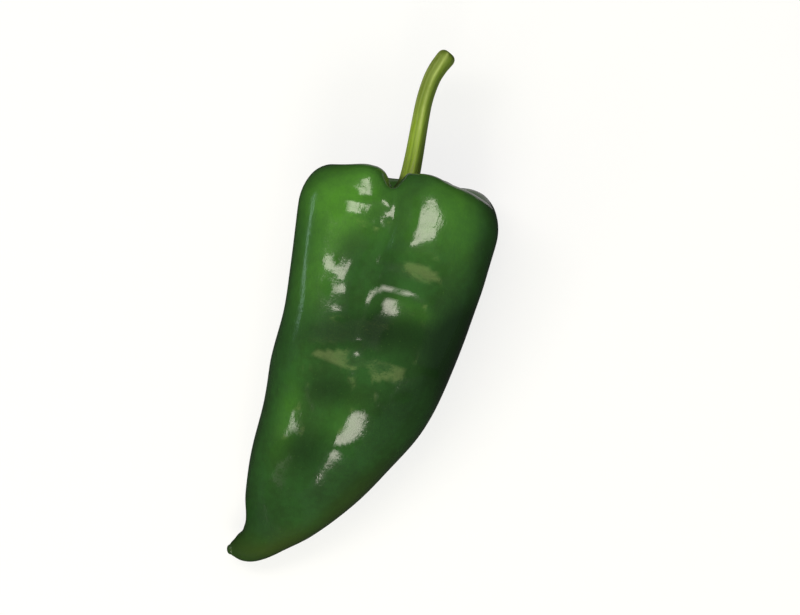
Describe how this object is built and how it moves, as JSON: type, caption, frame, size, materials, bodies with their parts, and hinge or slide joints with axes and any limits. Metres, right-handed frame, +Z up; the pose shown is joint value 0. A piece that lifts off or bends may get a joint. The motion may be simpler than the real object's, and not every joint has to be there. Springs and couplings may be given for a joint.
{
  "type": "poblano pepper",
  "caption": "Whole fresh poblano pepper lying on its side: a broad, lobed pod that tapers to a curved tip, with a long stem that rises from the hollow of its crown.",
  "frame": {"origin": "on the resting surface, under the middle of the whole pepper's box", "axes": "+Y runs along the pepper from the tip of the pod to the cut end of the stem, +Z points up from the surface, so the two front lobes and the groove between them face +Z, and +X points to the right of the pod seen from above with the stem at the far end"},
  "size_m": [0.065, 0.1763, 0.05],
  "materials": {
    "pod_skin": "smooth, waxy vegetable skin with a high gloss, dark green with lighter and more yellow areas",
    "stem": "ridged yellow-green plant stem with a soft sheen, and a paler, rougher cut end"
  },
  "bodies": {
    "root": {"pod": "pod_skin", "stem_and_calyx": "stem"}
  },
  "joints": []
}
